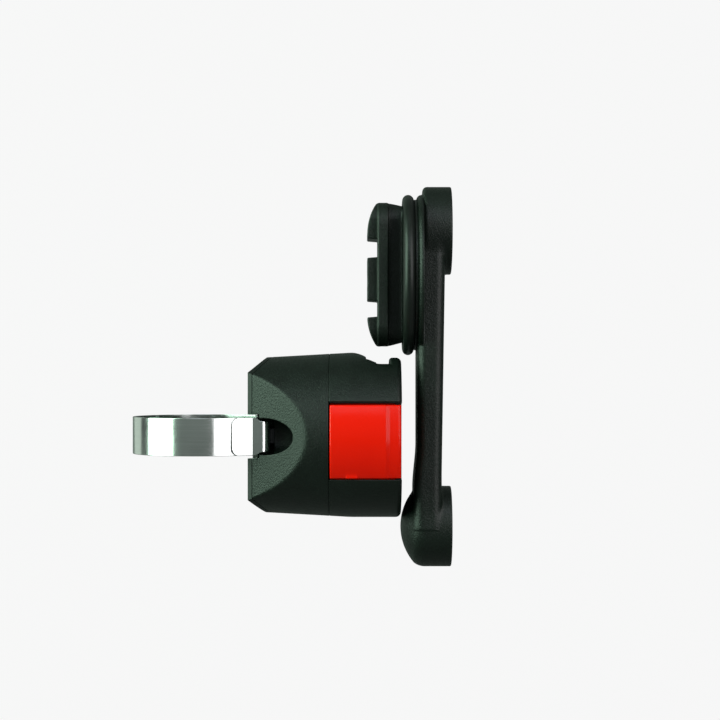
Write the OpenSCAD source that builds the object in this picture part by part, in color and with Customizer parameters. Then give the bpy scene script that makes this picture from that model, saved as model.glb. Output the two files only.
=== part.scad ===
/* Quick-release bottle cage mount for a bicycle tube.
   A two-part bracket is held on the tube by a steel band. A hook plate on a cage arm
   slides down into its T-slot, where a spring leaf locks it until the button is pressed.
   The origin is on the tube's axis, at the height of the bracket's own axis.
   X points away from the tube, and Z runs up along it. The hook plate stands lifted. */

/* [Tube and band] */
// Diameter of the tube that the bracket clamps
tube_d = 28.6; // [28:0.1:29.2]
// Thickness of the rubber liner between tube and bracket
liner_t = 1.0; // [0.8:0.1:1.2]
// Height of the steel band, along the tube
band_h = 8; // [7:0.2:8.4]
// Thickness of the steel band
band_t = 0.5; // [0.4:0.05:0.6]
// Angle past the tube's side at which the band leaves the tube
band_leave = 29; // [27:0.5:31]
// Length from where the band leaves the tube to the middle of its pin
band_reach = 7.2; // [6.8:0.1:7.6]
// Diameter of the pin in each end of the band
pin_d = 2.5; // [2:0.1:2.8]

/* [Bracket] */
// Outer radius of the bracket
body_r = 17.8; // [17.4:0.1:18.4]
// Radius of the bracket where it meets the tube
base_r = 16.8; // [16.4:0.1:17.2]
// Distance from the tube's axis to the seam between base and housing
seam_x = 27.8; // [27.2:0.1:28.4]
// Distance from the tube's axis to the front face
front_x = 43.2; // [42.8:0.1:44]
// Rounding of the front edge
front_round = 1.1; // [0.6:0.1:1.6]
// Angle of the flat faces beside the tube, seen from above
facet_angle = 31.5; // [30:0.5:33]
// Distance from the tube's axis to the tip of each flat face
facet_tip_x = 23.1; // [22.5:0.1:24]
// Radius of the scoop in front of each end of the band
scoop_r = 3.85; // [3.5:0.05:4]

/* [Slot and hook plate] */
// Thickness of the lip that holds the hook plate
lip_t = 2.5; // [2.2:0.1:2.8]
// Width of the hook plate's flange
flange_w = 16; // [15:0.2:16.4]
// Thickness of the flange
flange_t = 2.3; // [2:0.1:2.6]
// Height of the hook plate
plate_h = 30.9; // [30:0.1:31.2]
// Width of the toothed pad on the flange
tooth_w = 12; // [11.6:0.2:13]
// Depth of the teeth
tooth_t = 2.25; // [2:0.05:2.5]
// Width of the neck that passes the lip
neck_w = 11.4; // [10.4:0.2:12]
// Play between the hook plate and the slot
slot_play = 0.25; // [0.2:0.05:0.35]

/* [Button] */
// Height of the button's lower edge
button_low = -8.6; // [-8.8:0.1:-8.2]
// Height of the button's upper edge
button_high = 6.8; // [6.4:0.1:7]
// Way that the button travels when it is pressed
button_travel = 2.5; // [2.2:0.1:2.6]
// Gap below and behind the button
button_gap = 0.25; // [0.2:0.05:0.4]
// Gap above the button
button_top_gap = 0.7; // [0.4:0.1:0.9]
// Depth of the relief above the button
button_relief = 1.5; // [1:0.1:2.5]

/* [Cage arm] */
// How far the lower bolt is below the bracket while the hook plate is lifted
lower_drop = 2; // [1.4:0.1:3]
// Distance between the two cage bolts
bolt_spacing = 64; // [63.5:0.1:64.5]
// Height of the upper bolt above the middle of the hook plate
bolt_rise = 9.6; // [9:0.1:10]
// Thread diameter of the cage bolts
bolt_d = 5; // [4:0.5:5]
// Outer diameter of the rubber ring
ring_d = 34.7; // [34:0.1:36]
// Thickness of the rubber ring
ring_t = 2.45; // [2.3:0.05:2.8]
// Width of the ring's rubber, from the hub to its rim
ring_w = 2.75; // [2.5:0.05:3.2]
// Thickness of the arm at its top
arm_t = 5.95; // [5.6:0.05:6.4]
// Thickness of the arm at its foot
arm_foot_t = 5.25; // [5:0.05:5.5]
// Diameter of the upper boss
upper_boss_d = 19; // [18:0.2:20]
// Diameter of the lower boss, and width of the arm
lower_boss_d = 17.4; // [17:0.2:18]
// Radius of the dome behind the lower boss
dome_r = 12.2; // [11.8:0.1:14]
// Height of the boss faces above the arm's inner face
boss_reach = 7.5; // [7.2:0.1:8]

/* [Hidden] */
$fn = 96;
eps = 0.01;
fit = 0.05;     // between pieces that are screwed or pressed together
clear = 0.3;    // between pieces that pass each other
far = 60;       // longer than anything it cuts

tube_r = tube_d / 2;
saddle_r = tube_r + liner_t;
taper_end_x = 32.3;
base_start_x = tube_r / 2;

// Band ends, in a frame turned by band_leave in which the band runs along X
pin_r = pin_d / 2;
loop_in = pin_r + fit;
loop_out = loop_in + band_t;
flare = 25;
flare_len = loop_out * sin(flare) + (loop_out * cos(flare) - band_t) / tan(flare);
weld_r = tube_r + band_t;
tail_start = 0.2;
tail_end = 6.5;
tail_round = 1.5;
loop_play = 0.35;
loop_h = 2 * (scoop_r - loop_play);
loop_taper = 0.45;
pin_x = band_reach * cos(band_leave) + weld_r * sin(band_leave);
pin_y = weld_r * cos(band_leave) - band_reach * sin(band_leave);

// Flat faces, pockets and scoops beside the tube
facet_tip_y = base_r + (body_r - base_r) * (facet_tip_x - tube_r) / (taper_end_x - tube_r);
scoop_inset = 2.9;
scoop_tip_x = facet_tip_x - scoop_inset;
scoop_y = facet_tip_y - (facet_tip_x - scoop_tip_x) * tan(facet_angle) - scoop_r;
scoop_floor = 0.8;
scoop_end_x = scoop_tip_x + scoop_floor;
pocket_play = 0.65;
pocket_h = band_h + 2 * pocket_play;
pocket_lap = 0.4;
pocket_end_x = pin_x - pocket_lap;
loop_room = 0.9;
pocket_floor = weld_r - loop_out - loop_room;
loop_pocket_end_x = pin_x + loop_out + loop_room;

// Yoke that pulls on both pins
hook_h = 3;
hook_wall = 0.4;
hook_web = 0.9;
hook_out = loop_out + hook_wall;
yoke_arm_t = 2;
yoke_play = 0.2;
scoop_wall = 0.4;
yoke_arm_y = scoop_y - scoop_r - scoop_wall - yoke_play;
yoke_x = 21.5;
yoke_t = 3.5;
yoke_h = 8;
yoke_room = 1.6;

// Tension screw, between the housing's cavity and the yoke
screw_d = 5;
washer_d = 9;
washer_t = 0.8;
washer_x = seam_x + 2.1;
head_d = 8.5;
head_t = 3.5;
head_x = washer_x + washer_t;
socket_w = 3;
socket_depth = 2;
screw_tip_x = 18.6;

// Screws between base and housing
joint_wall = 5.5;
joint_screw_z = body_r - joint_wall;
joint_screw_d = 3;
joint_head_d = 5.6;
joint_head_t = 2.2;
joint_grip = 6.8;
joint_bite = 5.7;
joint_head_x = seam_x - joint_grip;
joint_tip_x = seam_x + joint_bite;

// T-slot and hook plate along X
lip_x = front_x - lip_t;
flange_back_x = lip_x - slot_play + 0.05;
flange_x = flange_back_x - flange_t;
tooth_x = flange_x - tooth_t;
flange_room_x = flange_x - clear;
cavity_x = tooth_x - slot_play;
plate_round = 5;
neck_round = 4;
ramp_len = 3.8;
ramp_sink = 0.25;
ramp_start_x = flange_room_x - ramp_len;
ramp_low_z = sqrt(pow(body_r, 2) - pow(flange_w / 2 + slot_play, 2)) - ramp_sink;
lip_round = 0.4;

// Teeth, as heights from the middle of the hook plate
tooth_round_z = 8.5;
tooth_round_r = 12.8;
upper_notch_z = 5.55;
upper_notch_h = 3.8;
lower_notch_z = -7.45;
lower_notch_h = 3.3;
notch_draft = 0.25;

// Button and its pocket
button_x = seam_x + button_gap;
button_front_x = front_x - 0.15;
button_r = body_r - 0.05;
button_slope_len = 3.4;
button_slope_x = front_x - button_slope_len;
button_slope = 0.55;
button_round = 0.6;
button_skin = 2.3;
button_wall = 1.3;
button_lip = 1.3;
button_lip_t = 1;
button_lip_y = 13.8;
pocket_floor_y = button_lip_y - button_lip_t - button_travel - 0.1;
button_back_y = button_lip_y - button_lip_t;
button_lip_front_x = front_x - 1.4;
spring_x = 34.6;
spring_z = (button_low + button_high) / 2;
spring_d = 4.2;
spring_wire = 0.45;
spring_turns = 5;
spring_seat = 1;
spring_low_y = pocket_floor_y - spring_seat;
spring_high_y = button_r - button_skin;
post_d = 2.6;
post_len = 2;

// Latch leaf behind the slot
leaf_z = lower_notch_z;
leaf_h = 2.9;
leaf_t = 0.4;
leaf_wall = 1.5;
leaf_front_x = cavity_x - leaf_wall;
leaf_end_y = 13;
leaf_bend_y = -5.5;
leaf_tip_y = -9.6;
leaf_tip_drop = 1.9;
nose_w = 3.4;
nose_x = flange_x - 0.1;
latch_screw_y = 10.5;
latch_screw_d = 2.2;
latch_head_d = 4.4;
latch_head_t = 1.4;
latch_screw_len = 5;
latch_tip_x = leaf_front_x + latch_screw_len;
tongue_tip_y = -10.6;

// Adapter along X and Z, as it stands lifted out of its seat
plate_z = bolt_spacing - bolt_rise - body_r - lower_drop;
hub_d = ring_d - 2 * ring_w;
hub_x = front_x + clear;
ring_room = 0.65;
arm_x = hub_x + ring_t + ring_room;
disc_t = 0.9;
disc_round = 0.6;
arm_round = 1.6;
boss_x = arm_x + boss_reach;
boss_round = 1;
upper_z = plate_z + bolt_rise;
lower_z = upper_z - bolt_spacing;
dome_bulge = 0.35;
dome_x = hub_x - dome_bulge;
flare_t = 0.7;
flare_low_h = 9;
flare_high_h = 17;
slope_low_h = 12;
slope_high_h = 8;
slope_low_z = lower_z + slope_low_h;
slope_high_z = upper_z - slope_high_h;
spigot_d = 10;
spigot_len = 1;

// Plate screws and inserts
plate_screw_y = 3;
plate_screw_z = -1.1;
plate_screw_d = 3;
plate_head_d = 5.5;
plate_head_t = 1.7;
plate_head_x = tooth_x + 0.4;
plate_screw_len = 14;
insert_wall = 1;
insert_d = bolt_d + 2 * insert_wall;
insert_len = 6.4;
insert_bore_r = bolt_d * 0.42;
insert_groove = 0.35;
bolt_room = 1;

// A flat shape in the Y-Z plane, drawn out along X from x to x + len
module along_x(x, len) translate([x, 0, 0]) rotate([90, 0, 90]) linear_extrude(len) children();

// A flat shape in the X-Z plane, drawn out along Y on both sides of the middle
module along_y(len) rotate([90, 0, 0]) linear_extrude(len, center = true) children();

// A profile of radius against x, turned about the X axis
module about_x() rotate([0, 90, 0]) rotate_extrude() children();

// A round bar along X
module bar_x(x, len, r) translate([x, 0, 0]) rotate([0, 90, 0]) cylinder(h = len, r = r);

// A rectangle with four round corners, around the origin
module rounded(w, h, r) {
  square([w - 2 * r, h], center = true);
  square([w, h - 2 * r], center = true);
  for (x = [-1, 1], y = [-1, 1]) translate([x * (w / 2 - r), y * (h / 2 - r)]) circle(r);
}

// A slot that is open at the top and round in its lower corners
module open_slot(w, low, r) {
  translate([0, low + far / 2]) rounded(w, far, r);
}

// Solid outline of the bracket

module body_profile() {
  polygon([
    [0, base_start_x],
    [base_r - (body_r - base_r) * (tube_r - base_start_x) / (taper_end_x - tube_r), base_start_x],
    [body_r, taper_end_x],
    [body_r, front_x - front_round],
    [body_r - front_round, front_x],
    [0, front_x]
  ]);
  translate([body_r - front_round, front_x - front_round]) circle(front_round);
}

module facet_side() {
  translate([facet_tip_x, facet_tip_y, 0]) rotate(facet_angle)
    translate([-far, 0, -far / 2]) cube([2 * far, far, far]);
}

module bracket_outline() {
  difference() {
    about_x() body_profile();
    for (side = [0, 1]) mirror([0, side, 0]) facet_side();
  }
}

// Band and its ends

module turned() rotate(-band_leave) children();

module loop_outside() {
  circle(loop_out);
  polygon([
    [-flare_len, band_t], [-loop_out * sin(flare), loop_out * cos(flare)],
    [-loop_out * sin(flare), -loop_out * cos(flare)], [-flare_len, -band_t]
  ]);
}

module loop_inside() {
  circle(loop_in);
  polygon([
    [-loop_in / sin(flare), 0],
    [-loop_in * sin(flare), loop_in * cos(flare)],
    [-loop_in * sin(flare), -loop_in * cos(flare)]
  ]);
}

// Side view of a band end, with round corners on the tail and a narrower loop
module band_end_outline() {
  loop_end = band_reach + loop_out + eps;
  tip_h = loop_h - 2 * loop_taper;
  translate([(tail_start + tail_end) / 2, 0]) rounded(tail_end - tail_start, band_h, tail_round);
  polygon([
    [tail_end - tail_round, -loop_h / 2], [loop_end, -tip_h / 2],
    [loop_end, tip_h / 2], [tail_end - tail_round, loop_h / 2]
  ]);
}

module band_end() {
  hook_gap = hook_h / 2 + clear;
  turned() {
    translate([0, tube_r, -band_h / 2]) cube([band_reach - flare_len, band_t, band_h]);
    difference() {
      intersection() {
        linear_extrude(band_h, center = true) difference() {
          union() {
            translate([tail_start, weld_r]) square([band_reach - flare_len - tail_start, band_t]);
            translate([band_reach, weld_r]) loop_outside();
          }
          translate([band_reach, weld_r]) loop_inside();
        }
        along_y(far) band_end_outline();
      }
      translate([band_reach - hook_out - clear, weld_r - far + hook_wall, -hook_gap])
        cube([far, far, 2 * hook_gap]);
    }
  }
}

module band_wrap() {
  arm = [far * sin(band_leave), far * cos(band_leave)];
  linear_extrude(band_h, center = true) difference() {
    circle(tube_r + band_t);
    circle(tube_r);
    polygon([[0, 0], arm, [far, far], [far, -far], [arm[0], -arm[1]]]);
  }
}

module steel_band() {
  color("silver") union() {
    band_wrap();
    for (side = [0, 1]) mirror([0, side, 0]) band_end();
  }
}

module band_pin(side) {
  color("dimgray") translate([pin_x, side * pin_y, 0])
    cylinder(h = loop_h - 2 * loop_taper - 0.2, r = pin_r, center = true);
}

// Rooms in the base for the band ends and the yoke

module behind(x) {
  intersection() {
    children();
    translate([x - far, -far]) square([far, 2 * far]);
  }
}

module band_pockets() {
  for (side = [0, 1]) mirror([0, side, 0]) {
    linear_extrude(pocket_h, center = true) behind(pocket_end_x)
      turned() translate([-far / 4, pocket_floor]) square([far, far / 2]);
    linear_extrude(2 * scoop_r, center = true) intersection() {
      behind(loop_pocket_end_x) turned() translate([-far / 4, pocket_floor]) square([far, far / 2]);
      translate([0, -far]) square([far, far + scoop_y]);
    }
    translate([tube_r / 2, scoop_y, 0]) bar_x(0, scoop_end_x - tube_r / 2, scoop_r);
    translate([pin_x, yoke_arm_y - yoke_arm_t - clear, -hook_h / 2 - clear])
      cube([yoke_x - pin_x, yoke_arm_t + clear + yoke_play, hook_h + 2 * clear]);
  }
}

module yoke_room() {
  wide = 2 * (yoke_arm_y + clear);
  translate([yoke_x - yoke_room, -wide / 2, -yoke_h / 2 - clear])
    cube([far, wide, yoke_h + 2 * clear]);
}

module saddle_liner() {
  color([0.10, 0.10, 0.10]) difference() {
    intersection() {
      bracket_outline();
      cylinder(h = far, r = saddle_r - eps, center = true);
    }
    cylinder(h = far, r = tube_r, center = true);
    band_pockets();
  }
}

module joint_screw_cut() {
  for (side = [-1, 1]) translate([0, 0, side * joint_screw_z]) {
    bar_x(0, joint_head_x, joint_head_d / 2 + clear);
    bar_x(0, joint_tip_x + 0.5, joint_screw_d / 2 + fit);
  }
}

module rear_base() {
  color([0.17, 0.20, 0.18]) difference() {
    intersection() {
      bracket_outline();
      translate([0, -far / 2, -far / 2]) cube([seam_x, far, far]);
    }
    cylinder(h = far, r = saddle_r, center = true);
    band_pockets();
    yoke_room();
    bar_x(0, far, screw_d / 2 + clear);
    joint_screw_cut();
  }
}

// Front housing

module slot_rooms() {
  play = slot_play;
  floor_z = -plate_h / 2 - clear;
  along_x(cavity_x, far) open_slot(neck_w + 2 * play, floor_z, neck_round + play);
  along_x(cavity_x, lip_x - cavity_x) open_slot(tooth_w + 2 * play, floor_z, neck_round + play);
  along_x(flange_room_x, lip_x - flange_room_x)
    open_slot(flange_w + 2 * play, floor_z, plate_round + play);
}

module entry_ramp() {
  lip_top_z = sqrt(pow(body_r, 2) - pow(neck_w / 2 + slot_play, 2));
  along_y(far) polygon([
    [ramp_start_x, body_r + eps], [flange_room_x, ramp_low_z],
    [lip_x, ramp_low_z], [lip_x, body_r + 1], [ramp_start_x, body_r + 1]
  ]);
  along_y(far) difference() {
    translate([lip_x - eps, lip_top_z - lip_round]) square([lip_round, far]);
    translate([lip_x + lip_round, lip_top_z - lip_round]) circle(lip_round);
  }
}

module button_room() {
  window_h = button_high - button_low + 2 * button_gap;
  relief_y = sqrt(pow(body_r, 2) - pow(button_high, 2)) - button_relief;
  translate([seam_x - eps, -far - pocket_floor_y, button_low - button_gap])
    cube([far, far, window_h]);
  translate([seam_x - eps, -far - relief_y, button_high])
    cube([far, far, button_top_gap]);
  translate([seam_x - eps, -button_lip_y - fit, button_low - button_lip - button_gap])
    cube([
      button_lip_front_x + button_gap - seam_x,
      button_lip_y + fit - pocket_floor_y,
      button_high - button_low + 2 * button_lip + 2 * button_gap
    ]);
  translate([spring_x, 0, spring_z]) rotate([90, 0, 0])
    translate([0, 0, spring_low_y]) cylinder(h = pocket_floor_y, r = spring_d / 2 + clear);
}

module leaf_room() {
  room_h = leaf_h + 0.4;
  translate([seam_x - eps, -pocket_floor_y - 0.5, leaf_z - room_h / 2])
    cube([leaf_front_x + fit - seam_x, pocket_floor_y + leaf_end_y + 0.7, room_h]);
  translate([seam_x, -nose_w / 2 - 0.2, leaf_z - room_h / 2])
    cube([cavity_x + 1 - seam_x, nose_w + 0.4, room_h]);
  translate([0, latch_screw_y, leaf_z]) {
    bar_x(seam_x - eps, leaf_front_x + fit - seam_x, latch_head_d / 2 + clear);
    bar_x(seam_x, latch_tip_x + 0.5 - seam_x, latch_screw_d / 2 + fit);
  }
}

module front_housing() {
  color([0.14, 0.16, 0.15]) difference() {
    intersection() {
      bracket_outline();
      translate([seam_x, -far / 2, -far / 2]) cube([far, far, far]);
    }
    slot_rooms();
    entry_ramp();
    button_room();
    leaf_room();
    bar_x(washer_x, far, washer_d / 2 + 0.2);
    bar_x(0, far, screw_d / 2 + clear);
    joint_screw_cut();
  }
}

// Yoke, tension screw and joining screws

module yoke_side() {
  difference() {
    union() {
      intersection() {
        translate([pin_x, pin_y]) circle(hook_out);
        turned() translate([0, weld_r - far + hook_wall - clear]) square([far, far]);
      }
      translate([pin_x, yoke_arm_y - yoke_arm_t])
        square([loop_in + hook_web, pin_y - yoke_arm_y + yoke_arm_t - loop_in]);
      translate([pin_x, yoke_arm_y - yoke_arm_t]) square([yoke_x - pin_x + eps, yoke_arm_t]);
    }
    translate([pin_x, pin_y]) circle(loop_in);
  }
}

module tension_yoke() {
  color("dimgray") difference() {
    union() {
      for (side = [0, 1]) mirror([0, side, 0]) linear_extrude(hook_h, center = true) yoke_side();
      along_x(yoke_x, yoke_t) rounded(2 * yoke_arm_y, yoke_h, 1.5);
    }
    bar_x(0, far, screw_d / 2 + fit);
  }
}

module tension_screw() {
  color("silver") difference() {
    union() {
      bar_x(screw_tip_x, head_x + fit - screw_tip_x + eps, screw_d / 2);
      bar_x(head_x + fit, head_t, head_d / 2);
    }
    translate([head_x + fit + head_t - socket_depth, 0, 0]) rotate([0, 90, 0])
      cylinder(h = socket_depth + 1, d = socket_w / cos(30), $fn = 6);
  }
}

module tension_washer() {
  color("silver") difference() {
    bar_x(washer_x + fit, washer_t - fit, washer_d / 2);
    bar_x(0, far, screw_d / 2 + 0.2);
  }
}

module housing_screw(side) {
  color("silver") translate([0, 0, side * joint_screw_z]) difference() {
    union() {
      bar_x(joint_head_x - joint_head_t - fit, joint_head_t, joint_head_d / 2);
      bar_x(joint_head_x - fit - eps, joint_tip_x - joint_head_x, joint_screw_d / 2);
    }
    translate([joint_head_x - joint_head_t - 1, 0, 0]) rotate([0, 90, 0])
      cylinder(h = 2.2, d = 2.5 / cos(30), $fn = 6);
  }
}

// Latch leaf, button and button spring

module latch_nose() {
  low = leaf_z - leaf_h / 2;
  along_y(nose_w) polygon([
    [leaf_front_x - eps, low], [nose_x, low], [nose_x, low + 0.6],
    [cavity_x + 0.2, low + leaf_h], [leaf_front_x - eps, low + leaf_h]
  ]);
}

module latch_leaf() {
  color("silver") union() {
    difference() {
      translate([0, 0, leaf_z]) linear_extrude(leaf_h, center = true) polygon([
        [leaf_front_x, leaf_end_y], [leaf_front_x, leaf_bend_y],
        [leaf_front_x - leaf_tip_drop, leaf_tip_y],
        [leaf_front_x - leaf_tip_drop - leaf_t, leaf_tip_y],
        [leaf_front_x - leaf_t, leaf_bend_y], [leaf_front_x - leaf_t, leaf_end_y]
      ]);
      translate([0, latch_screw_y, leaf_z]) bar_x(0, far, latch_screw_d / 2 + fit);
    }
    latch_nose();
  }
}

module latch_screw() {
  color("silver") translate([0, latch_screw_y, leaf_z]) {
    bar_x(leaf_front_x - leaf_t - fit - latch_head_t, latch_head_t, latch_head_d / 2);
    bar_x(leaf_front_x - leaf_t - fit - eps, latch_tip_x - leaf_front_x + leaf_t, latch_screw_d / 2);
  }
}

module button_profile() {
  edge_r = button_r - button_slope;
  polygon([
    [0, button_x], [button_r, button_x], [button_r, button_slope_x],
    [edge_r, button_front_x - button_round],
    [edge_r - button_round, button_front_x], [0, button_front_x]
  ]);
  translate([edge_r - button_round, button_front_x - button_round]) circle(button_round);
}

module button_tongue() {
  tongue_x = leaf_front_x - 0.3;
  thick = 2.4;
  low = leaf_z - leaf_h / 2 + 0.3;
  translate([0, 0, max(low, button_low)]) linear_extrude(leaf_h - 0.5) polygon([
    [tongue_x - thick, -spring_high_y - 0.5], [tongue_x, -spring_high_y - 0.5],
    [tongue_x, tongue_tip_y], [tongue_x - 0.6, tongue_tip_y],
    [tongue_x - thick, tongue_tip_y - thick + 0.6]
  ]);
}

module release_button() {
  hollow_low = button_low + button_wall;
  hollow_h = button_high - button_low - 2 * button_wall;
  color([0.86, 0.12, 0.03]) union() {
    difference() {
      intersection() {
        about_x() button_profile();
        translate([0, -far, button_low]) cube([far, far - button_back_y, button_high - button_low]);
      }
      translate([button_x + button_wall, -spring_high_y, hollow_low])
        cube([button_front_x - button_x - 2 * button_wall, far, hollow_h]);
    }
    for (z = [button_low - button_lip, button_high - eps])
      translate([button_x, -button_lip_y, z])
        cube([button_lip_front_x - button_x, button_lip_t, button_lip + eps]);
    translate([spring_x, -spring_high_y - eps, spring_z]) rotate([-90, 0, 0])
      cylinder(h = post_len, d = post_d);
    button_tongue();
  }
}

// The coil as one swept tube, with flat-ground ends left out of view
function coil_point(t, r, len) = [r * cos(360 * t * spring_turns), r * sin(360 * t * spring_turns), len * t];
module button_spring() {
  rings = spring_turns * 14;
  sides = 6;
  r = (spring_d - spring_wire) / 2;
  len = spring_high_y - spring_low_y - spring_wire - 2 * fit;
  points = [
    for (i = [0:rings]) let (a = 360 * spring_turns * i / rings, c = coil_point(i / rings, r, len))
      for (k = [0:sides - 1]) let (b = 360 * k / sides)
        c + spring_wire / 2 * [cos(b) * cos(a), cos(b) * sin(a), sin(b)]
  ];
  walls = [
    for (i = [0:rings - 1], k = [0:sides - 1]) let (n = (k + 1) % sides)
      [i * sides + k, i * sides + n, (i + 1) * sides + n, (i + 1) * sides + k]
  ];
  caps = [[for (k = [sides - 1:-1:0]) k], [for (k = [0:sides - 1]) rings * sides + k]];
  color("silver") translate([spring_x, -spring_low_y - spring_wire / 2 - fit, spring_z])
    rotate([90, 0, 0]) polyhedron(points, concat(walls, caps), convexity = 10);
}

// Hook plate, ring and cage arm

module tooth_profile() {
  intersection() {
    translate([tooth_x, -plate_h / 2]) square([tooth_t + eps, plate_h]);
    union() {
      translate([tooth_x, -tooth_round_z]) square([far, 2 * tooth_round_z]);
      for (side = [-1, 1]) translate([tooth_x + tooth_round_r, side * tooth_round_z]) circle(tooth_round_r);
    }
  }
}

module notch(z, h) {
  half = h / 2;
  polygon([
    [tooth_x - 1, z - half - notch_draft], [flange_x, z - half],
    [flange_x, z + half], [tooth_x - 1, z + half + notch_draft]
  ]);
}

module plate_screw_cut() {
  for (side = [-1, 1]) translate([0, side * plate_screw_y, plate_screw_z]) {
    bar_x(tooth_x - 1, plate_head_x - tooth_x + 1 + eps, plate_head_d / 2 + fit);
    translate([plate_head_x, 0, 0]) rotate([0, 90, 0])
      cylinder(h = plate_head_t, r1 = plate_head_d / 2 + fit, r2 = plate_screw_d / 2 + fit);
    bar_x(0, plate_head_x + plate_screw_len + 0.6, plate_screw_d / 2 + fit);
  }
}

module hook_plate() {
  neck_drop = 0.8;
  color([0.15, 0.18, 0.16]) translate([0, 0, plate_z]) difference() {
    union() {
      intersection() {
        along_x(tooth_x, tooth_t + eps) rounded(tooth_w, plate_h, neck_round);
        along_y(far) difference() {
          tooth_profile();
          notch(upper_notch_z, upper_notch_h);
          notch(lower_notch_z, lower_notch_h);
        }
      }
      along_x(flange_x, flange_t) rounded(flange_w, plate_h, plate_round);
      intersection() {
        along_x(flange_back_x - eps, hub_x - flange_back_x + 2 * eps) rounded(neck_w, plate_h, neck_round);
        along_y(far) polygon([
          [flange_back_x - eps, -plate_h / 2], [hub_x + 2 * eps, -plate_h / 2 + neck_drop],
          [hub_x + 2 * eps, plate_h / 2 - neck_drop], [flange_back_x - eps, plate_h / 2]
        ]);
      }
      bar_x(hub_x, arm_x - hub_x - fit, hub_d / 2);
      bar_x(hub_x, arm_x - hub_x + spigot_len - fit, spigot_d / 2);
    }
    plate_screw_cut();
  }
}

module damper_ring() {
  rim = ring_t / 2;
  color([0.09, 0.11, 0.10]) translate([hub_x + fit, 0, plate_z]) about_x() {
    translate([hub_d / 2 + fit, 0]) square([ring_d / 2 - rim - hub_d / 2 - fit, ring_t]);
    translate([ring_d / 2 - rim, rim]) circle(rim);
  }
}

module rounded_disc(r, thick, rim) {
  square([r - rim, thick]);
  square([r, thick - rim]);
  translate([r - rim, thick - rim]) circle(rim);
}

module boss_cut(z) {
  translate([0, 0, z]) {
    bar_x(boss_x - insert_len, far, insert_d / 2 + fit);
    bar_x(boss_x - insert_len - bolt_room, far, bolt_d / 2);
  }
}

module arm_bar() {
  intersection() {
    along_y(far) polygon([
      [arm_x - flare_t, lower_z], [arm_x + arm_foot_t, lower_z],
      [arm_x + arm_foot_t, slope_low_z], [arm_x + arm_t, slope_high_z],
      [arm_x + arm_t, upper_z], [arm_x, upper_z],
      [arm_x, lower_z + flare_high_h], [arm_x - flare_t, lower_z + flare_low_h]
    ]);
    translate([arm_x + (arm_t - flare_t) / 2, 0, lower_z]) linear_extrude(bolt_spacing)
      rounded(arm_t + flare_t, lower_boss_d, arm_round);
  }
}

module cage_arm() {
  color([0.13, 0.15, 0.14]) difference() {
    union() {
      arm_bar();
      translate([arm_x + disc_t, 0, plate_z]) mirror([1, 0, 0])
        about_x() rounded_disc(ring_d / 2, disc_t, disc_round);
      translate([boss_x, 0, upper_z]) mirror([1, 0, 0])
        about_x() rounded_disc(upper_boss_d / 2, boss_reach - disc_t, boss_round);
      translate([0, 0, lower_z]) intersection() {
        bar_x(0, boss_x, lower_boss_d / 2);
        translate([dome_x + dome_r, 0, 0]) sphere(dome_r);
      }
    }
    for (z = [lower_z, upper_z]) boss_cut(z);
    translate([0, 0, plate_z]) {
      bar_x(0, arm_x + spigot_len + 0.1, spigot_d / 2 + 0.1);
      plate_screw_cut();
    }
  }
}

module plate_screw(side) {
  color("silver") translate([0, side * plate_screw_y, plate_z + plate_screw_z]) difference() {
    union() {
      translate([plate_head_x, 0, 0]) rotate([0, 90, 0])
        cylinder(h = plate_head_t, r1 = plate_head_d / 2, r2 = plate_screw_d / 2);
      bar_x(plate_head_x + plate_head_t - eps, plate_screw_len - plate_head_t, plate_screw_d / 2);
    }
    translate([plate_head_x - 1, 0, 0]) rotate([0, 90, 0]) cylinder(h = 2.2, d = 2 / cos(30), $fn = 6);
  }
}

module bolt_insert(z) {
  band = insert_len * 0.38;
  color("goldenrod") translate([boss_x - insert_len + fit, 0, z]) difference() {
    union() {
      bar_x(0, insert_len - fit, insert_d / 2 - insert_groove);
      bar_x(0, band, insert_d / 2);
      bar_x(insert_len - fit - band, band, insert_d / 2);
    }
    bar_x(-1, far, insert_bore_r);
  }
}

rear_base();
saddle_liner();
front_housing();
steel_band();
band_pin(-1);  // band_pin_near
band_pin(1);  // band_pin_far
tension_yoke();
tension_screw();
tension_washer();
housing_screw(1);  // housing_screw_upper
housing_screw(-1);  // housing_screw_lower
latch_leaf();
latch_screw();
release_button();
button_spring();
hook_plate();
damper_ring();
cage_arm();
plate_screw(-1);  // plate_screw_near
plate_screw(1);  // plate_screw_far
bolt_insert(upper_z);  // insert_upper
bolt_insert(lower_z);  // insert_lower
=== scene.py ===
import math

import bpy
import numpy as np
import openvdb
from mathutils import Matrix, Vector


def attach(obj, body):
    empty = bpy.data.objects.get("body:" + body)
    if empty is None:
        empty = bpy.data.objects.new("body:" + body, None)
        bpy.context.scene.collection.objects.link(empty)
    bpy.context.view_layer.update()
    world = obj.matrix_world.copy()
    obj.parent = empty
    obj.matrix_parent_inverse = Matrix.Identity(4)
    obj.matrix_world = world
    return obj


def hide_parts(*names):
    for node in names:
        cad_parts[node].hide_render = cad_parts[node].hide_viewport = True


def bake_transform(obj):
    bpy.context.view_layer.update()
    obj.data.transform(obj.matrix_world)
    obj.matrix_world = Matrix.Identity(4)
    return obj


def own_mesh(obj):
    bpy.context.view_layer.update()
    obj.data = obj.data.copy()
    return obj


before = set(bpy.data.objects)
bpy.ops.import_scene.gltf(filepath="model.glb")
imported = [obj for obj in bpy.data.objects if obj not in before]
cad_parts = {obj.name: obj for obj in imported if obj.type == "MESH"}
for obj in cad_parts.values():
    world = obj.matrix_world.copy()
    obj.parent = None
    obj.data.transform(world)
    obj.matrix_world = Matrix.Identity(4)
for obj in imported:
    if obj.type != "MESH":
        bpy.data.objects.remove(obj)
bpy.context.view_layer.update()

# Studio.
# The camera stands level with the bracket, 0.42 m away, with a portrait lens, and the object
# hangs over a pale floor that curves up into a pale backdrop.
CAMERA_AWAY = 0.42
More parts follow.
